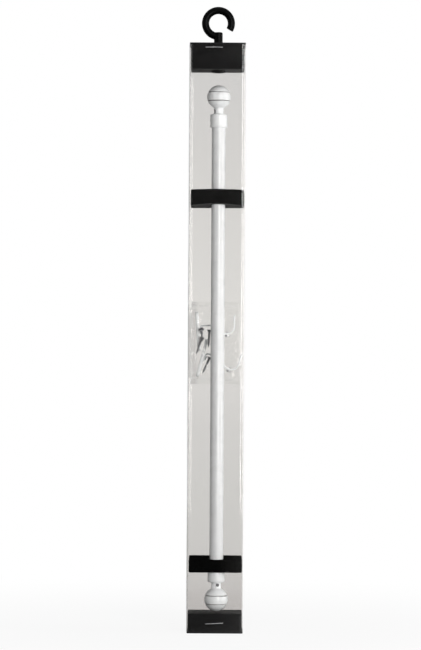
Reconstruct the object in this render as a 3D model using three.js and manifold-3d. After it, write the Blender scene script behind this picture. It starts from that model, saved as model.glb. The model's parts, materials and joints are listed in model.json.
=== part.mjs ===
// A telescoping curtain rod in its clear hanging pack, with a bag that holds its two
// brackets, screws and wall anchors. Millimetres, +Z up along the rod, front towards -Y.
// The origin is the middle of the pack's base.

import * as THREE from 'three';
import { mergeVertices } from 'three/addons/utils/BufferGeometryUtils.js';
import Module from 'manifold-3d';

const wasm = await Module();
wasm.setup();

// ---- driving dimensions ----

const gap = 0.3; // kept between pieces that touch or fit
const turns = 24; // flats round a turned piece

// clear sleeve and its two plugs
const packWidth = 78;
const packDepth = 60;
const packHeight = 810;
const filmWall = 0.7;
const packCorner = 5.5;
const flangeWidth = 77;
const flangeDepth = 59.4;
const flangeThick = 2;
const plugWall = 2;
const plugDepth = 57.4;
const plugCorner = 2.8;
const topPlugWidth = 73.6;
const topPlugHeight = 36;
const bottomPlugWidth = 74.4;
const bottomPlugHeight = 27;
const ribThick = 1.6;

// staples
const stapleWire = 0.5;
const stapleHole = 0.8;
const stapleReach = 6.5;
const topStaple = { x: -5, z: 803.5, length: 23.3, tilt: 0 };
const bottomStaple = { x: -0.8, z: 13.7, length: 24, tilt: 3 };

// hanging hook
const hookX = 0.6;
const hookRingHeight = 839.4;
const hookRing = 17.85;
const hookSection = 5.05;
const hookTipAngle = -28;
const hookRootAngle = 258;
const postRadius = 6;
const postTop = 827;
const hookShaft = 4.7;
const bossBore = 5;
const bossRadius = 8.5;
const hookPin = 2.8;
const retainerRadius = 9.5;
const retainerThick = 2.5;

// rod
const rodX = 1.8;
const rodY = -12;
const outerTubeRadius = 9.5;
const outerTubeWall = 0.6;
const innerTubeRadius = 8;
const innerTubeWall = 0.6;
const innerTubeLength = 600;
const guideLength = 14;
const ballRadius = 16.3;
const lowerBallHeight = 45.4;
const upperBallHeight = 736.6;
const neckReach = 23.2; // from the ball's centre to the end of its neck
const neckRadius = 6.5;
const socketRadius = 4.3;
const socketDepth = 10.6;
const spigotRadius = 4;
const spigotLength = 10;
const grooveWidth = 1.3;
const grooveDepth = 0.8;
const groovePlaces = [-0.335, 0.39]; // along the ball's axis, in ball radii
const collarRadius = 11.85;
const collarLength = 18.6;
const collarShoulder = 2.4;
const setScrewRadius = 2;
const setScrewPlace = 19.9; // from the ball's centre, along the neck

// foam holders
const foamWidth = 71;
const foamDepth = 55;
const upperFoam = { z: 586, height: 22 };
const lowerFoam = { z: 84.3, height: 17.4 };

// hardware bag
const bag = { x: 37.9, front: -1.9, back: 28.9, bottom: 346, top: 450, corner: 6, film: 0.35 };

// bracket, drawn with its wall face on x = 0 and its arm along +X
const plateHeight = 54;
const plateWidth = 19;
const plateDepth = 4.4;
const sheet = 1.5;
const strap = 2.2;
const strapWidth = 12;
const cradleX = 42.5;
const cradleZ = 4.8;
const cradleRadius = 10.9; // to the middle of the strap
const armZ = 7.2;
const bracketY = 18.5;
const brackets = [
  { name: 'bracket_1', x: -21.5, z: 377.9, lean: 14.2 },
  { name: 'bracket_2', x: -27.6, z: 413.9, lean: -4 },
];

// wood screws and wall anchors, each placed by its head; lean turns it in the front plane
// and dip turns its tip back
const looseScrews = [
  { x: -20.4, y: 1.7, z: 417, lean: -5, dip: 46 },
  { x: -19.5, y: 3.6, z: 406, lean: 18.6, dip: 0 },
  { x: -9.4, y: 3.6, z: 416.5, lean: 3, dip: 0 },
  { x: -8.6, y: 3.4, z: 378.5, lean: 24, dip: 0 },
];
const looseAnchors = [
  { x: -1.8, y: 3.4, z: 431, lean: 0.5, dip: 0 },
  { x: 5.8, y: 3.4, z: 437, lean: -0.5, dip: 0 },
  { x: 5.8, y: 3.4, z: 375, lean: 1, dip: 0 },
  { x: 5.8, y: 3.4, z: 406, lean: 0.5, dip: 0 },
];
const screwLength = 25;
const screwRadius = 1.75;
const screwHead = 3.6;
const anchorLength = 25;
const anchorRadius = 3;

// ---- materials ----

function finish(color, roughness, metalness = 0) {
  return new THREE.MeshStandardMaterial({ color, roughness, metalness });
}

const clearFilm = new THREE.MeshStandardMaterial({
  color: 0xd9dcdc, roughness: 0.1, transparent: true, opacity: 0.3,
});
const blackPlastic = finish(0x1d1d1f, 0.4);
const blackFoam = finish(0x161616, 0.95);
const whiteEnamel = finish(0xf1f0ed, 0.3);
const steelWire = finish(0x9a9ca0, 0.3, 1);
const darkSteel = finish(0x3a3a3c, 0.4, 1);
const whitePlastic = finish(0xe9e9e4, 0.5);

// ---- solids ----

const degrees = Math.PI / 180;

// A closed geometry as a manifold solid, with its faces turned outwards.
function solid(geometry) {
  const bare = geometry.index ? geometry.toNonIndexed() : geometry.clone();
  bare.deleteAttribute('normal');
  bare.deleteAttribute('uv');
  const merged = mergeVertices(bare, 1e-4);
  const triVerts = new Uint32Array(merged.index.array);
  const vertProperties = new Float32Array(merged.attributes.position.array);
  if (signedVolume(vertProperties, triVerts) < 0) triVerts.reverse();
  return new wasm.Manifold(new wasm.Mesh({ numProp: 3, vertProperties, triVerts }));
}

function signedVolume(points, triangles) {
  const corner = (i) => new THREE.Vector3().fromArray(points, triangles[i] * 3);
  let volume = 0;
  for (let i = 0; i < triangles.length; i += 3) {
    volume += corner(i).dot(corner(i + 1).cross(corner(i + 2))) / 6;
  }
  return volume;
}

function geometryOf(body) {
  const { vertProperties, triVerts } = body.getMesh();
  const geometry = new THREE.BufferGeometry();
  geometry.setAttribute('position', new THREE.BufferAttribute(vertProperties, 3));
  geometry.setIndex(new THREE.BufferAttribute(triVerts, 1));
  geometry.computeVertexNormals();
  return geometry;
}

const join = (first, ...rest) => rest.reduce((body, other) => body.add(other), first);
const cut = (first, ...rest) => rest.reduce((body, other) => body.subtract(other), first);

function placed(geometry, x, y, z) {
  return geometry.translate(x, y, z);
}

// A profile of [radius, height] points turned about Z.
function turned(profile, flats = turns) {
  const points = profile.map(([r, z]) => new THREE.Vector2(r, z));
  return new THREE.LatheGeometry(points, flats).rotateX(Math.PI / 2);
}

function rod(radius, low, high, flats = turns) {
  return turned([[0, low], [radius, low], [radius, high], [0, high]], flats);
}

// A round bar along +Y, from y = near to y = far.
function barAlongY(radius, x, near, far, z, flats = 12) {
  const bar = new THREE.CylinderGeometry(radius, radius, far - near, flats);
  return placed(bar, x, (near + far) / 2, z);
}

// A round bar along +X.
function barAlongX(radius, near, far, y, z, flats = 16) {
  const bar = new THREE.CylinderGeometry(radius, radius, far - near, flats);
  return placed(bar.rotateZ(Math.PI / 2), (near + far) / 2, y, z);
}

function roundedRectangle(width, depth, corner) {
  const x = width / 2 - corner;
  const y = depth / 2 - corner;
  const shape = new THREE.Shape();
  shape.absarc(x, -y, corner, -Math.PI / 2, 0);
  shape.absarc(x, y, corner, 0, Math.PI / 2);
  shape.absarc(-x, y, corner, Math.PI / 2, Math.PI);
  shape.absarc(-x, -y, corner, Math.PI, Math.PI * 1.5);
  shape.closePath();
  return shape;
}

function prism(shape, low, high) {
  const block = new THREE.ExtrudeGeometry(shape, {
    depth: high - low, bevelEnabled: false, curveSegments: 5,
  });
  return placed(block, 0, 0, low);
}

function box(width, depth, height, x, y, z) {
  return placed(new THREE.BoxGeometry(width, depth, height), x, y, z);
}

// ---- clear sleeve, plugs, staples and hook ----

function stapleLegs(staple) {
  const half = staple.length / 2;
  const rise = half * Math.sin(staple.tilt * degrees);
  return [[staple.x - half, staple.z - rise], [staple.x + half, staple.z + rise]];
}

function stapleHoles(staple, near, far) {
  return stapleLegs(staple).map(([x, z]) => solid(barAlongY(stapleHole, x, near, far, z)));
}

function clearSleeve() {
  const low = flangeThick + gap;
  const high = packHeight - flangeThick - gap;
  const outline = roundedRectangle(packWidth, packDepth, packCorner);
  const inside = [packWidth - 2 * filmWall, packDepth - 2 * filmWall, packCorner - filmWall];
  outline.holes.push(roundedRectangle(...inside));
  const front = -packDepth / 2;
  const slits = stapleLegs(topStaple).map(([x, z]) => {
    const slitHeight = high + 1 - (z - stapleHole);
    return solid(box(2 * stapleHole, 4, slitHeight, x, front, z - stapleHole + slitHeight / 2));
  });
  const holes = stapleHoles(bottomStaple, front - 2, front + 2);
  return cut(solid(prism(outline, low, high)), ...slits, ...holes);
}

function topPlug() {
  const floor = packHeight - topPlugHeight;
  const rim = packHeight - flangeThick;
  const body = solid(prism(roundedRectangle(topPlugWidth, plugDepth, plugCorner), floor, rim + 1));
  const flange = solid(prism(roundedRectangle(flangeWidth, flangeDepth, plugCorner), rim, packHeight));
  const pocketWidth = topPlugWidth - 2 * plugWall;
  const pocketDepth = plugDepth - 2 * plugWall;
  const pocketShape = roundedRectangle(pocketWidth, pocketDepth, plugCorner - plugWall);
  const pocket = solid(prism(pocketShape, floor + plugWall, packHeight + 1));
  const boss = solid(placed(rod(bossRadius, floor, packHeight - gap), hookX, 0, 0));
  const ribHeight = 22;
  const ribZ = floor + ribHeight / 2;
  const longRib = solid(box(pocketWidth + 1, ribThick, ribHeight, 0, 0, ribZ));
  const crossRib = solid(box(ribThick, pocketDepth + 1, ribHeight, hookX, 0, ribZ));
  const bore = solid(placed(rod(bossBore, floor - 1, packHeight + 1), hookX, 0, 0));
  const holes = stapleHoles(topStaple, -packDepth / 2, -plugDepth / 2 + plugWall + 1);
  return cut(join(cut(join(body, flange), pocket), boss, longRib, crossRib), bore, ...holes);
}

function bottomPlug() {
  const body = solid(prism(roundedRectangle(bottomPlugWidth, plugDepth, plugCorner), 1, bottomPlugHeight));
  const flange = solid(prism(roundedRectangle(flangeWidth, flangeDepth, plugCorner), 0, flangeThick));
  const pocketWidth = bottomPlugWidth - 2 * plugWall;
  const pocketDepth = plugDepth - 2 * plugWall;
  const pocketShape = roundedRectangle(pocketWidth, pocketDepth, plugCorner - plugWall);
  const pocket = solid(prism(pocketShape, -1, bottomPlugHeight - plugWall));
  const ribHeight = bottomPlugHeight - 3;
  const ribs = [
    solid(box(pocketWidth + 1, ribThick, ribHeight, 0, 0, 2 + ribHeight / 2)),
    solid(box(ribThick, pocketDepth + 1, ribHeight, -18, 0, 2 + ribHeight / 2)),
    solid(box(ribThick, pocketDepth + 1, ribHeight, 18, 0, 2 + ribHeight / 2)),
  ];
  const holes = stapleHoles(bottomStaple, -packDepth / 2, -plugDepth / 2 + plugWall + 1);
  return cut(join(cut(join(body, flange), pocket), ...ribs), ...holes);
}

// A wire staple: a crown across the front of the sleeve and two legs into the plug.
function stapleBody(staple) {
  const [[x0, z0], [x1, z1]] = stapleLegs(staple);
  const crown = -packDepth / 2 - gap - stapleWire;
  const bend = 1;
  const route = new THREE.CurvePath();
  const at = (x, y, z) => new THREE.Vector3(x, y, z);
  const slope = (z1 - z0) / (x1 - x0);
  const tip = crown + stapleReach;
  route.add(new THREE.LineCurve3(at(x0, tip, z0), at(x0, crown + bend, z0)));
  route.add(new THREE.QuadraticBezierCurve3(
    at(x0, crown + bend, z0), at(x0, crown, z0), at(x0 + bend, crown, z0 + bend * slope),
  ));
  route.add(new THREE.LineCurve3(
    at(x0 + bend, crown, z0 + bend * slope), at(x1 - bend, crown, z1 - bend * slope),
  ));
  route.add(new THREE.QuadraticBezierCurve3(
    at(x1 - bend, crown, z1 - bend * slope), at(x1, crown, z1), at(x1, crown + bend, z1),
  ));
  route.add(new THREE.LineCurve3(at(x1, crown + bend, z1), at(x1, tip, z1)));
  const section = new THREE.Shape().absarc(0, 0, stapleWire, 0, Math.PI * 2);
  return solid(new THREE.ExtrudeGeometry(section, {
    steps: 30, extrudePath: route, curveSegments: 3,
  }));
}

// The points of an arc about the hook's ring.
class HookArc extends THREE.Curve {
  getPoint(t, target = new THREE.Vector3()) {
    const angle = (hookTipAngle + (hookRootAngle - hookTipAngle) * t) * degrees;
    const x = hookX + hookRing * Math.cos(angle);
    return target.set(x, 0, hookRingHeight + hookRing * Math.sin(angle));
  }
}

function hangingHook() {
  const section = new THREE.Shape().absarc(0, 0, hookSection, 0, Math.PI * 2);
  const ring = solid(new THREE.ExtrudeGeometry(section, {
    steps: 26, extrudePath: new HookArc(), curveSegments: 6,
  }));
  const floor = packHeight - topPlugHeight;
  const shoulder = packHeight + gap;
  const stem = solid(placed(turned([
    [0, floor - retainerThick - 2 * gap],
    [hookPin, floor - retainerThick - 2 * gap],
    [hookPin, floor + 1],
    [hookShaft, floor + 2],
    [hookShaft, shoulder],
    [postRadius + 0.6, shoulder],
    [postRadius, shoulder + 1.5],
    [postRadius, postTop - 2],
    [postRadius - 2, postTop],
    [0, postTop],
  ], 24), hookX, 0, 0));
  return join(ring, stem);
}

function hookRetainer() {
  const high = packHeight - topPlugHeight - gap;
  const low = high - retainerThick;
  return solid(placed(turned([
    [hookPin + gap, low],
    [retainerRadius - 1, low],
    [retainerRadius, low + 1],
    [retainerRadius, high],
    [hookPin + gap, high],
    [hookPin + gap, low],
  ], 24), hookX, 0, 0));
}

// ---- rod ----

function onRodAxis(geometry) {
  return placed(geometry, rodX, rodY, 0);
}

function tube(radius, wall, low, high) {
  const profile = [[radius, low], [radius, high], [radius - wall, high], [radius - wall, low]];
  return solid(onRodAxis(turned([...profile, profile[0]])));
}

const upperCollarTop = upperBallHeight - neckReach - gap;
const upperCollarMouth = upperCollarTop - collarLength;
const lowerCollarEnd = lowerBallHeight + neckReach + gap;
const lowerCollarMouth = lowerCollarEnd + collarLength;
const outerTubeLow = lowerCollarMouth - 12;
const outerTubeHigh = upperCollarMouth + 8;
const innerTubeHigh = upperCollarTop - 3.8;
const innerTubeLow = innerTubeHigh - innerTubeLength;

// The outer profile of a ball finial from its neck to its tip, about its centre.
function finialProfile() {
  const start = Math.asin(neckRadius / ballRadius);
  const profile = [[0, -neckReach + socketDepth], [socketRadius, -neckReach + socketDepth]];
  profile.push([socketRadius, -neckReach], [neckRadius, -neckReach]);
  const steps = 13;
  const grooves = groovePlaces.map((place) => Math.acos(-place));
  const half = grooveWidth / 2 / ballRadius;
  const angles = [];
  for (let i = 0; i <= steps; i += 1) angles.push(start + (Math.PI - start) * (i / steps));
  const clear = angles.filter((a) => grooves.every((g) => Math.abs(a - g) > half * 1.6));
  const outline = clear.map((a) => [a, ballRadius]);
  grooves.forEach((g) => {
    outline.push([g - half, ballRadius], [g - half * 0.6, ballRadius - grooveDepth]);
    outline.push([g + half * 0.6, ballRadius - grooveDepth], [g + half, ballRadius]);
  });
  outline.sort((one, other) => one[0] - other[0]);
  outline.forEach(([a, r]) => profile.push([Math.max(r * Math.sin(a), 0), -r * Math.cos(a)]));
  profile[profile.length - 1] = [0, ballRadius];
  return profile;
}

// direction is 1 with the tip up and -1 with the tip down
function finial(height, direction, screwTurn) {
  const ball = turned(finialProfile());
  if (direction < 0) ball.rotateX(Math.PI);
  const hole = barAlongY(setScrewRadius + gap, 0, -neckRadius - 2, -1, -direction * setScrewPlace);
  hole.rotateZ(screwTurn * degrees);
  const body = cut(solid(ball), solid(hole));
  return body.translate([rodX, rodY, height]);
}

function setScrew(height, direction, screwTurn) {
  const tip = -spigotRadius + 0.9;
  const end = -neckRadius + 0.5;
  const z = -direction * setScrewPlace;
  const shank = solid(barAlongY(setScrewRadius, 0, end, tip, z, 16).rotateZ(screwTurn * degrees));
  const key = solid(barAlongY(1.1, 0, end - 1, end + 1.4, z, 6).rotateZ(screwTurn * degrees));
  return cut(shank, key).translate([rodX, rodY, height]);
}

// An end collar: a cup over the tube's end with a spigot into the finial's neck.
function endCollar(direction, height, screwTurn, hasInnerTube) {
  const length = collarLength;
  const recess = hasInnerTube ? 8 + gap : 12 + gap;
  const bore = innerTubeRadius + gap;
  const round = [30, 60, 90].map((a) => [
    collarRadius - collarShoulder * (1 - Math.cos((90 - a) * degrees)),
    length - collarShoulder * (1 - Math.sin((90 - a) * degrees)),
  ]).reverse();
  const inner = hasInnerTube
    ? [[0, length - 3.5], [bore, length - 3.5], [bore, recess]]
    : [[0, recess]];
  const profile = [
    ...inner,
    [outerTubeRadius + gap, recess],
    [outerTubeRadius + gap, 0],
    [collarRadius, 0],
    ...round,
    [collarRadius - collarShoulder - 0.4, length],
    [spigotRadius, length],
    [spigotRadius, length + spigotLength],
    [0, length + spigotLength],
  ];
  const cup = turned(profile);
  const dimpleZ = length + neckReach + gap - setScrewPlace;
  const dimple = barAlongY(setScrewRadius + gap, 0, -collarRadius, -spigotRadius + 0.9 + gap, dimpleZ);
  if (direction < 0) {
    cup.rotateX(Math.PI);
    dimple.rotateX(Math.PI).rotateZ(Math.PI);
  }
  dimple.rotateZ(screwTurn * degrees);
  return cut(solid(cup), solid(dimple)).translate([rodX, rodY, height]);
}

function tubeGuide() {
  const low = innerTubeLow - gap - 4;
  const flange = outerTubeRadius - outerTubeWall - gap;
  const spigot = innerTubeRadius - innerTubeWall - gap;
  return solid(onRodAxis(turned([
    [0, low],
    [flange - 0.6, low],
    [flange, low + 0.6],
    [flange, low + 4],
    [spigot, low + 4],
    [spigot, low + guideLength],
    [0, low + guideLength],
  ])));
}

// ---- foam holders and bag ----

function foamBlock(foam) {
  const outline = roundedRectangle(foamWidth, foamDepth, 1.5);
  const block = solid(prism(outline, foam.z, foam.z + foam.height));
  return cut(block, solid(onRodAxis(rod(outerTubeRadius + gap, foam.z - 1, foam.z + foam.height + 1))));
}

function lowerFoamBlock() {
  const seat = rod(collarRadius + 2 * gap, lowerFoam.z - 1, lowerCollarMouth + gap);
  return cut(foamBlock(lowerFoam), solid(onRodAxis(seat)));
}

function hardwareBag() {
  const depth = bag.back - bag.front;
  const middle = (bag.back + bag.front) / 2;
  const layer = (inset, low, high) => {
    const outline = roundedRectangle(2 * (bag.x - inset), depth - 2 * inset, bag.corner - inset);
    return solid(placed(prism(outline, low, high), 0, middle, 0));
  };
  const skin = layer(0, bag.bottom, bag.top);
  const hollow = layer(bag.film, bag.bottom + bag.film, bag.top - bag.film);
  const mouth = solid(box(60, 4, 4, 0, middle, bag.top));
  return cut(skin, hollow, mouth);
}

// ---- brackets ----

function alongX(shape, near, far) {
  const block = new THREE.ExtrudeGeometry(shape, {
    depth: far - near, bevelEnabled: false, curveSegments: 5,
  });
  const turn = new THREE.Matrix4().makeBasis(
    new THREE.Vector3(0, 1, 0), new THREE.Vector3(0, 0, 1), new THREE.Vector3(1, 0, 0),
  );
  return placed(block.applyMatrix4(turn), near, 0, 0);
}

const footX = plateDepth + gap + strap / 2;
const rivetZ = 1.1;

// A pressed wall plate: a shallow pan with its rim to the wall and two screw holes.
function wallPlate() {
  const pan = solid(alongX(roundedRectangle(plateWidth, plateHeight, 5), 0, plateDepth));
  const inside = roundedRectangle(plateWidth - 2 * sheet, plateHeight - 2 * sheet, 3.5);
  const hollow = solid(alongX(inside, -1, plateDepth - sheet));
  const holes = [-19, 19].map((z) => solid(barAlongX(2.2, -1, plateDepth + 1, 0, z)));
  const rivetHole = solid(barAlongX(1.8 + gap, -1, plateDepth + 1, 0, rivetZ));
  return cut(pan, hollow, rivetHole, ...holes);
}

// The outline of a bent strap: the points of its middle line, set off to both sides.
function strapOutline(points, thick) {
  const sides = [1, -1].map((side) => points.map((p, i) => {
    const before = points[Math.max(i - 1, 0)];
    const after = points[Math.min(i + 1, points.length - 1)];
    const along = after.clone().sub(before).normalize();
    return new THREE.Vector2(p.x - side * along.y * thick / 2, p.y + side * along.x * thick / 2);
  }));
  return new THREE.Shape([...sides[0], ...sides[1].reverse()]);
}

function bracketArm() {
  const bend = 3;
  const line = new THREE.Path();
  line.moveTo(footX, armZ - 11);
  line.lineTo(footX, armZ - bend);
  line.absarc(footX + bend, armZ - bend, bend, Math.PI, Math.PI / 2, true);
  const limb = cradleX - cradleRadius;
  const drop = armZ - cradleZ;
  line.lineTo(limb - drop, armZ);
  line.absarc(limb - drop, cradleZ, drop, Math.PI / 2, 0, true);
  line.absarc(cradleX, cradleZ, cradleRadius, Math.PI, Math.PI * 2, false);
  line.lineTo(cradleX + cradleRadius, cradleZ + 9);
  line.lineTo(cradleX + cradleRadius + 1.2, cradleZ + 14.8);
  const points = line.getPoints(9).filter((p, i, all) => i === 0 || p.distanceTo(all[i - 1]) > 0.05);
  const outline = strapOutline(points, strap);
  const bar = new THREE.ExtrudeGeometry(outline, { depth: strapWidth, bevelEnabled: false });
  bar.translate(0, 0, -strapWidth / 2).rotateX(Math.PI / 2);
  const rivetHole = solid(barAlongX(1.8 + gap, 0, footX + 3, 0, rivetZ));
  const lockHole = solid(placed(rod(screwRadius + gap, -cradleRadius - 3, -cradleRadius + 3, 16), cradleX, 0, cradleZ));
  return cut(solid(bar), rivetHole, lockHole);
}

function bracketRivet() {
  const inside = plateDepth - sheet - gap;
  const outside = footX + strap / 2 + gap;
  const profile = [
    [0, inside - 1.2], [2.8, inside - 1.2], [3, inside], [1.8, inside],
    [1.8, outside], [3.3, outside], [2.7, outside + 1.2], [0, outside + 1.6],
  ];
  const pin = turned(profile, 16).rotateY(Math.PI / 2);
  return solid(placed(pin, 0, 0, rivetZ));
}

function lockScrew() {
  const under = cradleZ - cradleRadius - strap / 2 - gap;
  const shank = [[screwRadius, under], [screwRadius, under + 4.4], [screwRadius - 0.7, under + 5]];
  const profile = [
    [0, under - 2.6], [2.9, under - 2.6], [3.4, under - 2], [3.4, under],
    ...shank, [0, under + 5],
  ];
  const slot = solid(box(8, 0.9, 2, 0, 0, under - 2.6));
  return cut(solid(turned(profile, 20)), slot).translate([cradleX, 0, 0]);
}

// ---- loose screws and anchors, drawn from the head at the origin down to the tip ----

function woodScrew() {
  const profile = [
    [0, -screwLength], [0.5, -screwLength + 1.2], [screwRadius, -screwLength + 5],
    [screwRadius, -screwHead + 1.4], [screwHead, -0.4], [screwHead, 0], [0, 0],
  ];
  const slots = [[5, 1], [1, 5]].map(([x, y]) => solid(box(x, y, 2, 0, 0, 0)));
  return cut(solid(turned(profile, 16)), ...slots);
}

function wallAnchor() {
  const profile = [
    [1.3, -anchorLength], [2.1, -anchorLength], [anchorRadius, -anchorLength + 6],
    [anchorRadius, -1.6], [anchorRadius + 1, -1.2], [anchorRadius + 1, 0], [1.5, 0],
    [1.3, -anchorLength],
  ];
  const slit = solid(box(9, 0.9, anchorLength - 8, 0, 0, -anchorLength + 8 - (anchorLength - 8) / 2 + 4));
  return cut(solid(turned(profile, 16)), slit);
}

// ---- assembly ----

const curtainRodPack = new THREE.Group();

function add(name, body, material, parent = curtainRodPack) {
  const mesh = new THREE.Mesh(geometryOf(body), material);
  mesh.name = name;
  parent.add(mesh);
}

add('clear_sleeve', clearSleeve(), clearFilm);
add('top_plug', topPlug(), blackPlastic);
add('bottom_plug', bottomPlug(), blackPlastic);
add('top_staple', stapleBody(topStaple), steelWire);
add('bottom_staple', stapleBody(bottomStaple), steelWire);
add('hanging_hook', hangingHook(), blackPlastic);
add('hook_retainer', hookRetainer(), blackPlastic);

const upperScrewTurn = -75;
const lowerScrewTurn = 17;
add('outer_tube', tube(outerTubeRadius, outerTubeWall, outerTubeLow, outerTubeHigh), whiteEnamel);
add('inner_tube', tube(innerTubeRadius, innerTubeWall, innerTubeLow, innerTubeHigh), whiteEnamel);
add('inner_tube_guide', tubeGuide(), whitePlastic);
add('upper_end_collar', endCollar(1, upperCollarMouth, upperScrewTurn, true), whiteEnamel);
add('lower_end_collar', endCollar(-1, lowerCollarMouth, lowerScrewTurn, false), whiteEnamel);
add('upper_ball_finial', finial(upperBallHeight, 1, upperScrewTurn), whiteEnamel);
add('lower_ball_finial', finial(lowerBallHeight, -1, lowerScrewTurn), whiteEnamel);
add('upper_set_screw', setScrew(upperBallHeight, 1, upperScrewTurn), darkSteel);
add('lower_set_screw', setScrew(lowerBallHeight, -1, lowerScrewTurn), darkSteel);

add('upper_foam_block', foamBlock(upperFoam), blackFoam);
add('lower_foam_block', lowerFoamBlock(), blackFoam);
add('hardware_bag', hardwareBag(), clearFilm);

brackets.forEach(({ name, x, z, lean }) => {
  const bracket = new THREE.Group();
  bracket.position.set(x, bracketY, z);
  bracket.rotation.y = lean * degrees;
  add(`${name}_wall_plate`, wallPlate(), whiteEnamel, bracket);
  add(`${name}_arm`, bracketArm(), whiteEnamel, bracket);
  add(`${name}_rivet`, bracketRivet(), steelWire, bracket);
  add(`${name}_lock_screw`, lockScrew(), steelWire, bracket);
  curtainRodPack.add(bracket);
});

function addLoose(name, body, material, place) {
  const spot = new THREE.Group();
  spot.position.set(place.x, place.y, place.z);
  spot.rotation.set(place.dip * degrees, place.lean * degrees, 0, 'YXZ');
  add(name, body, material, spot);
  curtainRodPack.add(spot);
}

looseScrews.forEach((place, i) => addLoose(`wall_screw_${i + 1}`, woodScrew(), darkSteel, place));
looseAnchors.forEach((place, i) => addLoose(`wall_anchor_${i + 1}`, wallAnchor(), whitePlastic, place));

export default curtainRodPack;
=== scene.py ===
import json
import math

import bmesh
import bpy
from mathutils import Matrix, Vector, noise


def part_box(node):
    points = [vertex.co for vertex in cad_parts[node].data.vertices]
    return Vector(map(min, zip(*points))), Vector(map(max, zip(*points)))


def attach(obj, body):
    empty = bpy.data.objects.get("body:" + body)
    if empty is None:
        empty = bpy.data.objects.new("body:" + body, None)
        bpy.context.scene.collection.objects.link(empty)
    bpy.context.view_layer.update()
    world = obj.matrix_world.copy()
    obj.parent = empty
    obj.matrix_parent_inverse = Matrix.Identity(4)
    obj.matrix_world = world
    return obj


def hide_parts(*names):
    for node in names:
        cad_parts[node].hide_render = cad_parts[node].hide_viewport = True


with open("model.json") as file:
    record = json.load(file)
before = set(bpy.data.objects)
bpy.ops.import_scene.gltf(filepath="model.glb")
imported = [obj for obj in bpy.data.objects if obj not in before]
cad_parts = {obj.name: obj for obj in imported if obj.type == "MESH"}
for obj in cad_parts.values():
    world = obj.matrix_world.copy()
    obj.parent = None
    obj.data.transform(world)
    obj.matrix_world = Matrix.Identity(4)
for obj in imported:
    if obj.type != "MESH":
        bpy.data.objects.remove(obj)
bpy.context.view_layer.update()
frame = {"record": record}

# White telescoping curtain rod in its clear hanging pack. Shapes are drawn in millimetres
# and turned to metres as each piece is finished.
scene = bpy.context.scene
mm = 0.001


def boxOf(node):
    low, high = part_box(node)
    return Vector(low) / mm, Vector(high) / mm


def middleOf(node):
    low, high = boxOf(node)
    return (low + high) / 2


tubeMiddle = middleOf("outer_tube")
rodX, rodY = tubeMiddle.x, tubeMiddle.y
sleeveLow, sleeveHigh = boxOf("clear_sleeve")


def newMaterial(name):
    material = bpy.data.materials.new(name)
    material.use_nodes = True
    tree = material.node_tree
    return material, tree, tree.nodes["Principled BSDF"]


def addNode(tree, kind, **values):
    node = tree.nodes.new(kind)
    for key, value in values.items():
        if key in node.inputs:
            node.inputs[key].default_value = value
        else:
            setattr(node, key, value)
    return node


def objectPattern(tree, scale=(1, 1, 1)):
    coordinates = addNode(tree, "ShaderNodeTexCoord")
    mapping = addNode(tree, "ShaderNodeMapping", Scale=scale)
    tree.links.new(coordinates.outputs["Object"], mapping.inputs["Vector"])
    return mapping.outputs["Vector"]


def noiseField(tree, vector, scale, detail=3.0, roughness=0.5):
    field = addNode(tree, "ShaderNodeTexNoise", Scale=scale, Detail=detail, Roughness=roughness)
    tree.links.new(vector, field.inputs["Vector"])
    return field.outputs["Fac"]


def colourRamp(tree, factor, stops):
    ramp = addNode(tree, "ShaderNodeValToRGB")
    tree.links.new(factor, ramp.inputs["Fac"])
    while len(ramp.color_ramp.elements) < len(stops):
        ramp.color_ramp.elements.new(0.5)
    for element, (place, colour) in zip(ramp.color_ramp.elements, stops):
        element.position = place
        element.color = (*colour, 1)
    return ramp.outputs["Color"]


def ranged(tree, value, source, target, smooth=False):
    kind = "SMOOTHSTEP" if smooth else "LINEAR"
    remap = addNode(tree, "ShaderNodeMapRange", interpolation_type=kind)
    tree.links.new(value, remap.inputs["Value"])
    for name, number in zip(("From Min", "From Max", "To Min", "To Max"), (*source, *target)):
        remap.inputs[name].default_value = number
    return remap.outputs["Result"]


def spread(tree, factor, low, high):
    return ranged(tree, factor, (0, 1), (low, high))


def axisOf(tree, vector, letter):
    parts = addNode(tree, "ShaderNodeSeparateXYZ")
    tree.links.new(vector, parts.inputs[0])
    return parts.outputs[letter]


def faceTurn(tree):
    # 1 on faces turned up, -1 on faces turned down
    geometry = addNode(tree, "ShaderNodeNewGeometry")
    return axisOf(tree, geometry.outputs["True Normal"], "Z")


def counted(tree, operation, first, second=None):
    # one sum on a socket, with a second socket or a number
    node = addNode(tree, "ShaderNodeMath", operation=operation)
    tree.links.new(first, node.inputs[0])
    if isinstance(second, (int, float)):
        node.inputs[1].default_value = second
    elif second:
        tree.links.new(second, node.inputs[1])
    return node.outputs[0]


def mixedShader(tree, factor, first, second):
    mix = addNode(tree, "ShaderNodeMixShader")
    for socket, source in zip(mix.inputs, (factor, first, second)):
        tree.links.new(source, socket)
    return mix.outputs[0]


def blendedColour(tree, amount, first, second):
    mix = addNode(tree, "ShaderNodeMix", data_type="RGBA")
    tree.links.new(amount, mix.inputs["Factor"])
    for name, colour in (("A", first), ("B", second)):
        socket = next(i for i in mix.inputs if i.name == name and i.type == "RGBA")
        if isinstance(colour, tuple):
            socket.default_value = (*colour, 1)
        else:
            tree.links.new(colour, socket)
    return next(o for o in mix.outputs if o.type == "RGBA")


def bumpFrom(tree, height, strength, distance, under=None):
    bump = addNode(tree, "ShaderNodeBump", Strength=strength, Distance=distance)
    tree.links.new(height, bump.inputs["Height"])
    if under:
        tree.links.new(under, bump.inputs["Normal"])
    return bump.outputs["Normal"]


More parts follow.
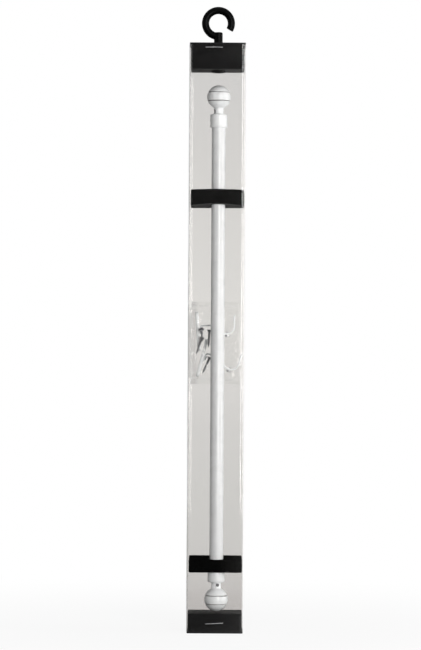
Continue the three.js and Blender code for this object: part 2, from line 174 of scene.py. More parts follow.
def whiteEnamel(name, shade, light):
    material, tree, shader = newMaterial(name)
    place = objectPattern(tree)
    drift = noiseField(tree, place, 9, 4)
    tone = colourRamp(tree, drift, [(0.3, shade), (0.7, light)])
    tree.links.new(tone, shader.inputs["Base Color"])
    smear = noiseField(tree, place, 60, 5, 0.6)
    tree.links.new(spread(tree, smear, 0.2, 0.36), shader.inputs["Roughness"])
    peel = noiseField(tree, place, 700, 2)
    tree.links.new(bumpFrom(tree, peel, 0.12, 0.0001), shader.inputs["Normal"])
    shader.inputs["Coat Weight"].default_value = 0.25
    shader.inputs["Coat Roughness"].default_value = 0.12
    return material


def whitePlastic():
    material, tree, shader = newMaterial("white nylon")
    place = objectPattern(tree)
    cloud = noiseField(tree, place, 120, 4)
    tone = colourRamp(tree, cloud, [(0.3, (0.78, 0.78, 0.74)), (0.7, (0.88, 0.88, 0.85))])
    tree.links.new(tone, shader.inputs["Base Color"])
    tree.links.new(spread(tree, cloud, 0.4, 0.6), shader.inputs["Roughness"])
    grain = noiseField(tree, place, 1600, 2)
    tree.links.new(bumpFrom(tree, grain, 0.2, 0.00006), shader.inputs["Normal"])
    shader.inputs["Subsurface Weight"].default_value = 0.1
    shader.inputs["Subsurface Radius"].default_value = (0.001, 0.001, 0.001)
    return material


def blackPlastic(name, dark, light, gloss, shine):
    # level faces are left rough from the mould
    material, tree, shader = newMaterial(name)
    place = objectPattern(tree)
    flow = noiseField(tree, objectPattern(tree, (18, 18, 60)), 1, 4)
    tone = colourRamp(tree, flow, [(0.3, dark), (0.75, light)])
    tree.links.new(tone, shader.inputs["Base Color"])
    rub = noiseField(tree, place, 90, 6, 0.65)
    level = ranged(tree, counted(tree, "ABSOLUTE", faceTurn(tree)), (0.7, 0.95), (0, 0.45))
    moulded = counted(tree, "ADD", spread(tree, rub, gloss, gloss + 0.1), level)
    tree.links.new(moulded, shader.inputs["Roughness"])
    grain = noiseField(tree, place, 2400, 2)
    sink = noiseField(tree, place, 45, 2)
    under = bumpFrom(tree, sink, 0.06, 0.0006)
    tree.links.new(bumpFrom(tree, grain, 0.1, 0.00004, under), shader.inputs["Normal"])
    shader.inputs["Specular IOR Level"].default_value = shine
    return material


def blackFoam(name, dark, light, undersideLight):
    # painted light: an even lighter grey towards the right as painted glare, and a painted lighter tone
    # on the faces below
    material, tree, shader = newMaterial(name)
    place = objectPattern(tree)
    cells = addNode(tree, "ShaderNodeTexVoronoi", Scale=1100, feature="F1")
    tree.links.new(place, cells.inputs["Vector"])
    patch = noiseField(tree, place, 40, 4)
    tone = colourRamp(tree, patch, [(0.35, (dark,) * 3), (0.7, (light,) * 3)])
    # painted glare: the colour runs to an even lighter grey towards the right
    rightGlare = ranged(tree, axisOf(tree, place, "X"), (0.004, 0.033), (0, 1))
    skin = blendedColour(tree, rightGlare, tone, (0.0125,) * 3)
    # painted light on faces turned down
    litUnderside = ranged(tree, faceTurn(tree), (-0.95, -0.6), (1, 0))
    tree.links.new(blendedColour(tree, litUnderside, skin, (undersideLight,) * 3), shader.inputs["Base Color"])
    tree.links.new(spread(tree, cells.outputs["Distance"], 0.75, 1.0), shader.inputs["Roughness"])
    lumps = noiseField(tree, place, 260, 3)
    under = bumpFrom(tree, lumps, 0.35, 0.0006)
    pores = bumpFrom(tree, cells.outputs["Distance"], 0.7, 0.0003, under)
    tree.links.new(pores, shader.inputs["Normal"])
    shader.inputs["Specular IOR Level"].default_value = 0.0
    return material


def steel(name, dark, light, low, high):
    material, tree, shader = newMaterial(name)
    place = objectPattern(tree)
    tarnish = noiseField(tree, place, 300, 5, 0.6)
    tone = colourRamp(tree, tarnish, [(0.3, dark), (0.7, light)])
    tree.links.new(tone, shader.inputs["Base Color"])
    tree.links.new(spread(tree, tarnish, low, high), shader.inputs["Roughness"])
    drawn = noiseField(tree, objectPattern(tree, (300, 2600, 2600)), 1, 3)
    tree.links.new(bumpFrom(tree, drawn, 0.25, 0.00004), shader.inputs["Normal"])
    shader.inputs["Metallic"].default_value = 1
    return material


# a mottled dark material used for painted shade in recesses
def recessShade(name, dark, light, roughness):
    material, tree, shader = newMaterial(name)
    mottle = noiseField(tree, objectPattern(tree), 420, 4, 0.6)
    tree.links.new(colourRamp(tree, mottle, [(0.35, dark), (0.65, light)]), shader.inputs["Base Color"])
    tree.links.new(spread(tree, mottle, roughness, roughness + 0.2), shader.inputs["Roughness"])
    tree.links.new(bumpFrom(tree, mottle, 0.3, 0.0001), shader.inputs["Normal"])
    return material


def thinFilm(name, front, back, waves, waveHeight, gloss, rim, fold=None):
    # the back tints run from the bottom of the pack to the top as painted shade, darker towards the
    # bottom; the glancing edges carry a painted shade on the left side; the fold is a doubled left side
    material, tree, shader = newMaterial(name)
    tree.nodes.remove(shader)
    place = objectPattern(tree)
    height = ranged(tree, axisOf(tree, place, "Z"), (0, sleeveHigh.z * mm), (0, 1))
    depth = ranged(tree, axisOf(tree, place, "Y"), (-0.01, 0.02), (0, 1))
    across = ranged(tree, axisOf(tree, place, "X"), (-0.034, 0.034), (0, 1))
    # painted shade: the back tint follows the height ramp
    tint = blendedColour(tree, depth, front, colourRamp(tree, height, back))
    if fold:
        folded = ranged(tree, axisOf(tree, place, "X"), (-0.03, -0.024), (1, 0))
        tint = blendedColour(tree, folded, tint, fold)
    # glancing faces are lightened; along them the tint runs from the rim colour on the left to white on
    # the right, a painted shade on the left edges
    glancing = addNode(tree, "ShaderNodeLayerWeight").outputs["Facing"]
    lift = ranged(tree, glancing, (0.2, 0.85), (0, 0.85))
    edges = blendedColour(tree, across, rim, (1, 1, 1))
    clear = addNode(tree, "ShaderNodeBsdfTransparent")
    tree.links.new(blendedColour(tree, lift, tint, edges), clear.inputs["Color"])
    ripple = noiseField(tree, objectPattern(tree, waves), 1, 3)
    under = bumpFrom(tree, ripple, 0.6, waveHeight)
    scuffs = noiseField(tree, objectPattern(tree, (420, 420, 60)), 1, 6, 0.7)
    normal = bumpFrom(tree, scuffs, 0.12, 0.00005, under)
    shine = addNode(tree, "ShaderNodeBsdfGlossy", Color=(1, 1, 1, 1))
    tree.links.new(normal, shine.inputs["Normal"])
    tree.links.new(spread(tree, scuffs, gloss, gloss + 0.08), shine.inputs["Roughness"])
    mirror = addNode(tree, "ShaderNodeFresnel", IOR=1.28)
    tree.links.new(normal, mirror.inputs["Normal"])
    capped = counted(tree, "MINIMUM", mirror.outputs[0], 0.2)
    surface = mixedShader(tree, capped, clear.outputs[0], shine.outputs[0])
    tree.links.new(surface, tree.nodes["Material Output"].inputs["Surface"])
    return material


def paleFloor():
    # matt pale floor that fades into the white surround away from the pack
    material, tree, shader = newMaterial("pale studio floor")
    place = objectPattern(tree)
    grain = noiseField(tree, place, 3, 3)
    tone = colourRamp(tree, grain, [(0.3, (0.55,) * 3), (0.7, (0.57,) * 3)])
    tree.links.new(tone, shader.inputs["Base Color"])
    shader.inputs["Roughness"].default_value = 0.9
    path = addNode(tree, "ShaderNodeLightPath")
    mirrored = addNode(tree, "ShaderNodeEmission")
    behind = ranged(tree, axisOf(tree, place, "Y"), (-0.1, 0.1), (0.08, 1), True)
    tree.links.new(behind, mirrored.inputs["Strength"])
    gloss = mixedShader(tree, path.outputs["Is Glossy Ray"], shader.outputs[0], mirrored.outputs[0])
    distance = addNode(tree, "ShaderNodeVectorMath", operation="LENGTH")
    tree.links.new(place, distance.inputs[0])
    fade = ranged(tree, distance.outputs["Value"], (0.1, 0.9), (0.9, 1), True)
    amount = counted(tree, "MULTIPLY", path.outputs["Is Camera Ray"], fade)
    white = addNode(tree, "ShaderNodeEmission", Strength=1.0)
    white.inputs["Color"].default_value = (1, 1, 1, 1)
    surface = mixedShader(tree, amount, gloss, white.outputs[0])
    tree.links.new(surface, tree.nodes["Material Output"].inputs["Surface"])
    return material


sleeveLook = {
    "front": (0.912, 0.907, 0.9),
    # painted shade: the back tint darkens towards the bottom of the pack and a little towards the top
    "back": [
        (0.0, (0.796, 0.784, 0.777)), (0.055, (0.815, 0.802, 0.795)), (0.075, (0.836, 0.827, 0.819)),
        (0.145, (0.865, 0.86, 0.852)), (0.225, (0.878, 0.875, 0.866)), (0.345, (0.9, 0.895, 0.888)),
        (0.4, (0.92, 0.915, 0.908)), (0.56, (0.95, 0.945, 0.935)), (0.83, (0.91, 0.905, 0.898)),
        (1.0, (0.888, 0.885, 0.884)),
    ],
    "waves": (7, 7, 2.5),
    "waveHeight": 0.004,
    "gloss": 0.03,
    # painted shade on the left glancing edges
    "rim": (0.7, 0.7, 0.7),
}
bagLook = {
    "front": (0.988, 0.988, 0.985),
    "back": [(0, (0.988, 0.988, 0.985)), (1, (0.99, 0.99, 0.988))],
    "waves": (70, 70, 50),
    "waveHeight": 0.002,
    "gloss": 0.04,
    "rim": (0.97, 0.97, 0.97),
    "fold": (0.91, 0.91, 0.91),
}
plugBlack = (0.009, 0.009, 0.0095)
plugLight = (0.018, 0.018, 0.0185)
finishes = {
    "white_enamel": whiteEnamel("white enamel", (0.895, 0.92, 0.94), (0.935, 0.955, 0.975)),
    "white_plastic": whitePlastic(),
    "black_plastic": blackPlastic("black moulded plastic", plugBlack, plugLight, 0.13, 0.11),
    "black_foam": blackFoam("black foam", 0.0001, 0.0008, 0.004),
    "steel_wire": steel("bright steel wire", (0.42, 0.42, 0.43), (0.62, 0.62, 0.63), 0.22, 0.4),
    "dark_steel": steel("phosphated steel", (0.09, 0.09, 0.095), (0.2, 0.2, 0.21), 0.3, 0.5),
    "clear_film": thinFilm("clear sleeve film", **sleeveLook),
    "bag_film": thinFilm("bag film", **bagLook),
}
# painted shade: a darker copy of the white enamel for the tubes
shadedTubeEnamel = whiteEnamel("white tube enamel, shaded copy", (0.78, 0.8, 0.82), (0.82, 0.84, 0.86))
# painted light: a lighter copy of the black foam for the upper holder
litFoamCopy = blackFoam("black foam, lit copy", 0.0085, 0.0135, 0.12)
zinc = steel("zinc plated steel", (0.3, 0.3, 0.31), (0.48, 0.48, 0.5), 0.28, 0.5)
# painted shade in the grooves of the ball finials
shadedGroove = recessShade("shaded groove", (0.2, 0.2, 0.2), (0.36, 0.355, 0.35), 0.55)
# painted shade and bare metal inside the set screw holes
holeShadeAndBareMetal = recessShade("hole shade and bare metal", (0.006, 0.006, 0.006), (0.03, 0.03, 0.03), 0.5)
hookNylon = blackPlastic("black nylon", (0.0008,) * 3, (0.0012,) * 3, 0.3, 0.03)
print("materials ready")


def spun(profile, steps=64, closed=False):
    # (radius, height) points turned about Z
    bm = bmesh.new()
    points = [bm.verts.new((radius, 0, height)) for radius, height in profile]
    pairs = list(zip(points, points[1:])) + ([(points[-1], points[0])] if closed else [])
    for pair in pairs:
        bm.edges.new(pair)
    bmesh.ops.spin(
        bm, geom=bm.verts[:] + bm.edges[:], cent=(0, 0, 0), axis=(0, 0, 1),
        angle=math.tau, steps=steps, use_merge=True, use_duplicate=False,
    )
    bmesh.ops.remove_doubles(bm, verts=bm.verts[:], dist=0.0005)
    bmesh.ops.recalc_face_normals(bm, faces=bm.faces[:])
    return bm


def arc(centre, radius, start, end, steps):
    turns = [math.radians(start + (end - start) * i / steps) for i in range(steps + 1)]
    return [(centre[0] + radius * math.cos(t), centre[1] + radius * math.sin(t)) for t in turns]


def roundedPlate(width, depth, corner, height=0.0, steps=8):
    bm = bmesh.new()
    bmesh.ops.create_grid(bm, x_segments=1, y_segments=1, size=0.5)
    bmesh.ops.scale(bm, vec=(width, depth, 1), verts=bm.verts[:])
    bmesh.ops.bevel(
        bm, geom=bm.verts[:], offset=corner, affect="VERTICES",
        segments=steps, profile=0.5, material=-1,
    )
    bmesh.ops.translate(bm, vec=(0, 0, height), verts=bm.verts[:])
    return bm


def prism(width, depth, corner, low, high, at=(0, 0), steps=8):
    bm = roundedPlate(width, depth, corner, low, steps)
    top = bmesh.ops.extrude_face_region(bm, geom=bm.faces[:])["geom"]
    risen = [item for item in top if isinstance(item, bmesh.types.BMVert)]
    bmesh.ops.translate(bm, vec=(0, 0, high - low), verts=risen)
    bmesh.ops.translate(bm, vec=(*at, 0), verts=bm.verts[:])
    bmesh.ops.recalc_face_normals(bm, faces=bm.faces[:])
    return bm


def block(size, at):
    bm = bmesh.new()
    bmesh.ops.create_cube(bm, size=1)
    bmesh.ops.scale(bm, vec=size, verts=bm.verts[:])
    bmesh.ops.translate(bm, vec=at, verts=bm.verts[:])
    return bm


def pin(radius, start, end, steps=24):
    # a round bar between two points
    start, end = Vector(start), Vector(end)
    length = (end - start).length
    bm = bmesh.new()
    bmesh.ops.create_cone(
        bm, cap_ends=True, segments=steps, radius1=radius, radius2=radius, depth=length,
    )
    turn = (end - start).to_track_quat("Z", "Y").to_matrix().to_4x4()
    bmesh.ops.transform(bm, matrix=Matrix.Translation((start + end) / 2) @ turn, verts=bm.verts[:])
    return bm


def softened(bm, width, steps=2, angle=40):
    sharp = [e for e in bm.edges if len(e.link_faces) == 2 and e.calc_face_angle() > math.radians(angle)]
    bmesh.ops.bevel(
        bm, geom=sharp, offset=width, affect="EDGES", segments=steps,
        profile=0.5, material=-1, clamp_overlap=True,
    )
    return bm


def workObject(bm):
    mesh = bpy.data.meshes.new("work")
    bm.to_mesh(mesh)
    bm.free()
    work = bpy.data.objects.new("work", mesh)
    scene.collection.objects.link(work)
    return work


def modified(bm, kind, **settings):
    # one modifier run on a bmesh and applied
    work = workObject(bm)
    modifier = work.modifiers.new(kind, kind)
    for key, value in settings.items():
        setattr(modifier, key, value)
    shown = work.evaluated_get(bpy.context.evaluated_depsgraph_get())
    result = bmesh.new()
    result.from_mesh(shown.to_mesh())
    shown.to_mesh_clear()
    bpy.data.objects.remove(work)
    return result


def combined(bm, tools, operation):
    for tool in tools:
        other = workObject(tool)
        bm = modified(bm, "BOOLEAN", object=other, operation=operation, solver="EXACT")
        bpy.data.objects.remove(other)
    return bm


def joined(bm, *tools):
    return combined(bm, tools, "UNION")


def cut(bm, *tools):
    return combined(bm, tools, "DIFFERENCE")


def blended(bm, voxel, rounds):
    # overlapping solids made one skin with soft inner corners
    bm = modified(bm, "REMESH", mode="VOXEL", voxel_size=voxel)
    for _ in range(rounds):
        bmesh.ops.smooth_vert(
            bm, verts=bm.verts[:], factor=0.5, use_axis_x=True, use_axis_y=True, use_axis_z=True,
        )
    return bm


def merged(*parts):
    # separate solids in one mesh
    whole = bmesh.new()
    for part in parts:
        mesh = bpy.data.meshes.new("part")
        part.to_mesh(mesh)
        part.free()
        whole.from_mesh(mesh)
        bpy.data.meshes.remove(mesh)
    return whole


def finished(name, bm, finish, body, stands, place=None, smooth=35, material=None, inlays=()):
    if place:
        bmesh.ops.transform(bm, matrix=place, verts=bm.verts[:])
    bmesh.ops.scale(bm, vec=(mm, mm, mm), verts=bm.verts[:])
    mesh = bpy.data.meshes.new(name)
    bm.to_mesh(mesh)
    bm.free()
    mesh.materials.append(material or finishes[finish])
    for inlay in inlays:
        mesh.materials.append(inlay)
    mesh.shade_smooth()
    mesh.set_sharp_from_angle(angle=math.radians(smooth))
    piece = bpy.data.objects.new(name, mesh)
    scene.collection.objects.link(piece)
    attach(piece, body)
    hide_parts(*stands)
    return piece


sleeve = {
    "wall": 0.4,
    "corner": 5.4,
    "levels": 110,
    "panelCuts": 9,
    "bow": 0.3,
    "bowFade": 60,
    "bowLength": (45, 120),
    "bowSides": (39, 30),
    "slit": 1.8,
    "slitPast": 1.2,
}


def sleeveFilm():
    width, depth = sleeveHigh.x - sleeveLow.x, sleeveHigh.y - sleeveLow.y
    bm = roundedPlate(width - 0.3, depth - 0.3, sleeve["corner"], sleeveLow.z)
    bmesh.ops.delete(bm, geom=bm.faces[:], context="FACES_ONLY")
    panels = [e for e in bm.edges if e.calc_length() > 20]
    bmesh.ops.subdivide_edges(bm, edges=panels, cuts=sleeve["panelCuts"])
    rim = bm.edges[:]
    rise = (sleeveHigh.z - sleeveLow.z) / sleeve["levels"]
    for _ in range(sleeve["levels"]):
        fresh = bmesh.ops.extrude_edge_only(bm, edges=rim)["geom"]
        rim = [item for item in fresh if isinstance(item, bmesh.types.BMEdge)]
        lifted = [item for item in fresh if isinstance(item, bmesh.types.BMVert)]
        bmesh.ops.translate(bm, vec=(0, 0, rise), verts=lifted)
    bmesh.ops.recalc_face_normals(bm, faces=bm.faces[:])
    around, along = sleeve["bowLength"]
    wide, deep = sleeve["bowSides"]
    for v in bm.verts:
        # the panels bow a little, less near the ends
        ends = min(v.co.z - sleeveLow.z, sleeveHigh.z - v.co.z) / sleeve["bowFade"]
        free = min(max(ends, 0), 1)
        swell = noise.noise((v.co.x / around, v.co.y / around, v.co.z / along)) * sleeve["bow"] * free
        v.co.x += swell * v.co.x / wide
        v.co.y += swell * v.co.y / deep
    bm = modified(bm, "SOLIDIFY", thickness=sleeve["wall"], offset=0)
    legs = []
    past = sleeve["slitPast"]
    for node, top in (("top_staple", True), ("bottom_staple", False)):
        low, high = boxOf(node)
        for x in (low.x + 0.5, high.x - 0.5):
            z = (low.z + high.z) / 2
            reach = sleeveHigh.z + 1 if top else z + past
            size = (sleeve["slit"], 3, reach - z + past)
            legs.append(block(size, (x, sleeveLow.y, (reach + z - past) / 2)))
    bm = cut(bm, *legs)
    finished("clearSleeveFilm", bm, "clear_film", "pack", ["clear_sleeve"], smooth=50)


sleeveFilm()
print("sleeve ready")


plug = {
    "wall": 2.0,
    "corner": 2.8,
    "flange": 2.0,
    "lidCorner": 0.6,
    "rib": 1.6,
    "topRibHeight": 22,
    "crossRibs": (-18, 18),
    "edge": 0.35,
    "topBody": (73.6, 57.4),
    "bottomBody": (74.4, 57.4),
    "bossRadius": 8.5,
    "boreRadius": 5.0,
}


def topPlug():
    low, high = boxOf("top_plug")
    width, depth = plug["topBody"]
    wall, corner = plug["wall"], plug["corner"]
    hookX = middleOf("hook_retainer").x
    seat = high.z - plug["flange"]
    lid = prism(high.x - low.x, high.y - low.y, corner + plug["lidCorner"], seat, high.z)
    shell = joined(prism(width, depth, corner, low.z, seat), lid)
    inner = (width - 2 * wall, depth - 2 * wall)
    shell = cut(shell, prism(*inner, corner - wall, low.z + wall, high.z + 1))
    rib = plug["rib"]
    ribHeight = plug["topRibHeight"]
    level = low.z + ribHeight / 2 + 0.5
    shell = joined(
        shell,
        block((inner[0] + 1, rib, ribHeight), (0, 0, level)),
        block((rib, inner[1] + 1, ribHeight), (hookX, 0, level)),
        pin(plug["bossRadius"], (hookX, 0, low.z + 0.5), (hookX, 0, high.z - 0.3), 48),
    )
    shell = cut(shell, pin(plug["boreRadius"], (hookX, 0, low.z - 1), (hookX, 0, high.z + 1), 48))
    shell = softened(shell, plug["edge"])
    finished("topPlugMoulding", shell, "black_plastic", "plug", ["top_plug"])


def bottomPlug():
    low, high = boxOf("bottom_plug")
    width, depth = plug["bottomBody"]
    wall, corner = plug["wall"], plug["corner"]
    seat = low.z + plug["flange"]
    foot = prism(high.x - low.x, high.y - low.y, corner + plug["lidCorner"], low.z, seat)
    shell = joined(prism(width, depth, corner, seat, high.z), foot)
    inner = (width - 2 * wall, depth - 2 * wall)
    shell = cut(shell, prism(*inner, corner - wall, low.z - 1, high.z - wall))
    rib = plug["rib"]
    ribHeight = high.z - 3
    level = 2 + ribHeight / 2 - 0.5
    ribs = [block((inner[0] + 1, rib, ribHeight), (0, 0, level))]
    ribs += [block((rib, inner[1] + 1, ribHeight), (x, 0, level)) for x in plug["crossRibs"]]
    shell = softened(joined(shell, *ribs), plug["edge"])
    finished("bottomPlugMoulding", shell, "black_plastic", "pack", ["bottom_plug"])


topPlug()
bottomPlug()
print("plugs ready")


staple = {"wire": 0.5, "bend": 1.1, "flat": 0.8}


def stapleWire(node, name, body, tilt):
    low, high = boxOf(node)
    wire, bend = staple["wire"], staple["bend"]
    length = (high.x - low.x) - 2 * wire
    reach = high.y - low.y - wire
    bm = bmesh.new()
    ring = bmesh.ops.create_circle(bm, cap_ends=True, segments=12, radius=wire)["verts"]
    bmesh.ops.scale(bm, vec=(1, staple["flat"], 1), verts=ring)
    bmesh.ops.rotate(bm, cent=(0, 0, 0), matrix=Matrix.Rotation(math.radians(90), 3, "X"), verts=ring)
    front = list(bm.faces)

    def push(vec):
        nonlocal front
        fresh = bmesh.ops.extrude_face_region(bm, geom=front)["geom"]
        front = [item for item in fresh if isinstance(item, bmesh.types.BMFace)]
        moved = [item for item in fresh if isinstance(item, bmesh.types.BMVert)]
        bmesh.ops.translate(bm, vec=vec, verts=moved)

    def turnCorner(centre):
        nonlocal front
        spin = bmesh.ops.spin(
            bm, geom=front, cent=centre, axis=(0, 0, 1), angle=math.radians(90),
            steps=6, use_merge=False, use_duplicate=False,
        )
        front = [item for item in spin["geom_last"] if isinstance(item, bmesh.types.BMFace)]

    push((0, -(reach - bend), 0))
    turnCorner((bend, -(reach - bend), 0))
    push((length - 2 * bend, 0, 0))
    turnCorner((length - bend, -(reach - bend), 0))
    push((0, reach - bend, 0))
    bmesh.ops.remove_doubles(bm, verts=bm.verts[:], dist=0.001)
    bmesh.ops.recalc_face_normals(bm, faces=bm.faces[:])
    middle = Vector((-length / 2, 0, 0))
    lean = Matrix.Rotation(math.radians(-tilt), 4, "Y")
    centre = Vector(((low.x + high.x) / 2, high.y, (low.z + high.z) / 2))
    place = Matrix.Translation(centre) @ lean @ Matrix.Translation(middle)
    finished(name, bm, "steel_wire", body, [node], place, 50)


stapleWire("top_staple", "topStapleWire", "plug", 0)
stapleWire("bottom_staple", "bottomStapleWire", "pack", 3)
print("staples ready")


hook = {
    "ring": 17.85,
    "section": 5.05,
    "ringHeight": 839.4,
    "tipAngle": -30,
    "rootAngle": 258,
    "post": 6.0,
    "postTop": 827,
    "shaft": 4.7,
    "pin": 2.8,
    "voxel": 0.42,
    "smoothing": 5,
}


def hangingHook():
    foot = boxOf("hanging_hook")[0].z
    retainerLow, retainerHigh = boxOf("hook_retainer")
    hookX = (retainerLow.x + retainerHigh.x) / 2
    floor = boxOf("top_plug")[1].z
    centre = Vector((hookX, 0, hook["ringHeight"]))
    bm = bmesh.new()
    section = bmesh.ops.create_circle(bm, cap_ends=True, segments=32, radius=hook["section"])["verts"]
    bmesh.ops.translate(bm, vec=centre + Vector((hook["ring"], 0, 0)), verts=section)
    turn = Matrix.Rotation(math.radians(-hook["tipAngle"]), 3, "Y")
    bmesh.ops.rotate(bm, cent=centre, matrix=turn, verts=section)
    bmesh.ops.spin(
        bm, geom=bm.faces[:], cent=centre, axis=(0, -1, 0),
        angle=math.radians(hook["rootAngle"] - hook["tipAngle"]), steps=90,
        use_merge=False, use_duplicate=False,
    )
    bmesh.ops.recalc_face_normals(bm, faces=bm.faces[:])
    post, top = hook["post"], hook["postTop"]
    stem = spun([
        (0, foot), (hook["pin"], foot), (hook["pin"], retainerHigh.z + 1.3),
        (hook["shaft"], retainerHigh.z + 2.3), (hook["shaft"], floor + 0.3),
        (post + 0.7, floor + 0.3), (post + 0.2, floor + 2.4), (post, floor + 5),
        *arc((post - 1.4, top - 1.4), 1.4, 0, 90, 4), (0, top),
    ], 48)
    bmesh.ops.translate(stem, vec=(hookX, 0, 0), verts=stem.verts[:])
    whole = blended(joined(bm, stem), hook["voxel"], hook["smoothing"])
    finished("hookMoulding", whole, "black_plastic", "hook", ["hanging_hook"], smooth=60,
             material=hookNylon)


def hookRetainer():
    low, high = boxOf("hook_retainer")
    radius = (high.x - low.x) / 2
    bore = hook["pin"] + 0.3
    disc = spun([
        (bore, low.z + 0.2), (bore + 0.6, low.z - 0.4), (bore + 1.8, low.z - 0.4),
        (bore + 2.4, low.z + 0.3), (radius - 2, low.z + 0.5),
        *arc((radius - 0.8, low.z + 0.8), 0.8, -90, 0, 3), (radius, high.z), (bore, high.z),
    ], 48, closed=True)
    middle = (low + high) / 2
    bmesh.ops.translate(disc, vec=(middle.x, middle.y, 0), verts=disc.verts[:])
    finished("hookRetainerDisc", disc, "black_plastic", "hook", ["hook_retainer"])


hangingHook()
hookRetainer()
print("hook ready")


rod = {
    "ball": 16.3,
    "neckReach": 23.2,
    "neck": 6.5,
    "socket": 4.3,
    "socketDepth": 10.6,
    "grooves": (-0.335, 0.39),
    "grooveWidth": 1.5,
    "grooveDepth": 1.1,
    "collarLength": 18.6,
    "shoulder": 2.4,
    "spigot": 4.0,
    "screwHole": 2.3,
    "screwMouth": 3.3,
    "mouthDepth": 3.8,
    "screwPast": 10,
    "grub": (3.3, 5.9),
    "grubGap": 0.25,
    "grubEdge": 0.12,
    "key": (4.4, 7),
    "keyRadius": 1.15,
    "shade": (0.3, 2),
    "neckShare": 0.8,
    "innerRadius": 8.0,
    "tubeWall": 0.6,
}
onRodAxis = Matrix.Translation((rodX, rodY, 0))


def tubeProfile(radius, low, high, wall):
    lip = 0.15
    return [
        (radius - wall, low + lip), (radius - wall + lip, low),
        (radius - lip, low), (radius, low + lip),
        (radius, high - lip), (radius - lip, high),
        (radius - wall + lip, high), (radius - wall, high - lip),
    ]


def tubes():
    for node, name, body in (
        ("outer_tube", "outerTubeSkin", "rod_outer"),
        ("inner_tube", "innerTubeSkin", "rod_inner"),
    ):
        low, high = boxOf(node)
        shape = spun(tubeProfile((high.x - low.x) / 2, low.z, high.z, rod["tubeWall"]), 96, closed=True)
        finished(name, shape, "white_enamel", body, [node], onRodAxis, material=shadedTubeEnamel)


def finialProfile():
    ball, neck = rod["ball"], rod["neck"]
    rim = rod["neckReach"]
    start = math.degrees(math.asin(neck / ball)) + 3
    steps = 90
    grooves = [math.degrees(math.acos(-place)) for place in rod["grooves"]]
    half = math.degrees(rod["grooveWidth"] / 2 / ball)

    def onBall(turn):
        # the ball's surface at an angle from its neck, dipped where a groove runs
        nearest = min(abs(turn - groove) for groove in grooves) / half
        radius = ball - rod["grooveDepth"] * max(0, 1 - nearest ** 4) ** 0.5
        return radius * math.sin(math.radians(turn)), -radius * math.cos(math.radians(turn))

    outline = [onBall(start + (180 - start) * i / steps) for i in range(steps + 1)]
    banks = (-1.02, -0.94, -0.75, 0.75, 0.94, 1.02)
    outline += [onBall(groove + side * half) for groove in grooves for side in banks]
    outline.sort(key=lambda p: math.atan2(p[0], -p[1]))
    outline[-1] = (0, ball)
    joint = -math.sqrt(ball ** 2 - neck ** 2)
    neckLine = [
        (0, rod["socketDepth"] - rim), (rod["socket"], rod["socketDepth"] - rim),
        (rod["socket"], -rim), (neck - 0.3, -rim), (neck, -rim + 0.3),
        (neck, joint - 1.0), (neck + 0.12, joint - 0.5),
    ]
    return neckLine + outline


def finial(node, name, body, tipUp, screwNode, screwName):
    low, high = boxOf(node)
    centre = (low + high) / 2
    height = high.z - rod["ball"] if tipUp else low.z + rod["ball"]
    turn = Matrix.Identity(4) if tipUp else Matrix.Rotation(math.pi, 4, "X")
    place = Matrix.Translation((centre.x, centre.y, height)) @ turn
    ball = spun(finialProfile(), 96)
    bmesh.ops.transform(ball, matrix=place, verts=ball.verts[:])
    screw = middleOf(screwNode)
    axis = Vector((screw.x - centre.x, screw.y - centre.y, 0)).normalized()
    middle = Vector((centre.x, centre.y, screw.z))
    past = middle + axis * rod["screwPast"]
    ball = cut(ball, pin(rod["screwHole"], middle + axis, past, 32))
    mouth = rod["screwMouth"] if tipUp else rod["screwHole"]
    ball = cut(ball, pin(mouth, middle + axis * rod["mouthDepth"], past, 48))
    heart = Vector((centre.x, centre.y, height))
    shallow, deep = rod["shade"]
    for face in ball.faces:
        spot = face.calc_center_median()
        depth = rod["ball"] - (spot - heart).length
        beyondNeck = (spot - heart).z * (1 if tipUp else -1) > -rod["neckShare"] * rod["ball"]
        # painted shade: faces inside the grooves take the grey groove material
        if beyondNeck and shallow < depth < deep:
            face.material_index = 1  # groove walls
        # painted shade and bare metal: faces inside the screw hole take the dark hole material
        fromScrew = spot - middle
        reach = fromScrew.dot(axis)
        if reach > 0.5 and (fromScrew - reach * axis).length < mouth + 0.05:
            face.material_index = 2  # screw hole
    inlays = [shadedGroove, holeShadeAndBareMetal]
    finished(name, ball, "white_enamel", body, [node], smooth=30, inlays=inlays)
    inside, outside = rod["grub"]
    grub = pin(rod["screwHole"] - rod["grubGap"], middle + axis * inside, middle + axis * outside, 32)
    inside, outside = rod["key"]
    key = pin(rod["keyRadius"], middle + axis * inside, middle + axis * outside, 6)
    grub = softened(cut(grub, key), rod["grubEdge"])
    screwBody = "upper_screw" if tipUp else "lower_screw"
    finished(screwName, grub, "dark_steel", screwBody, [screwNode])


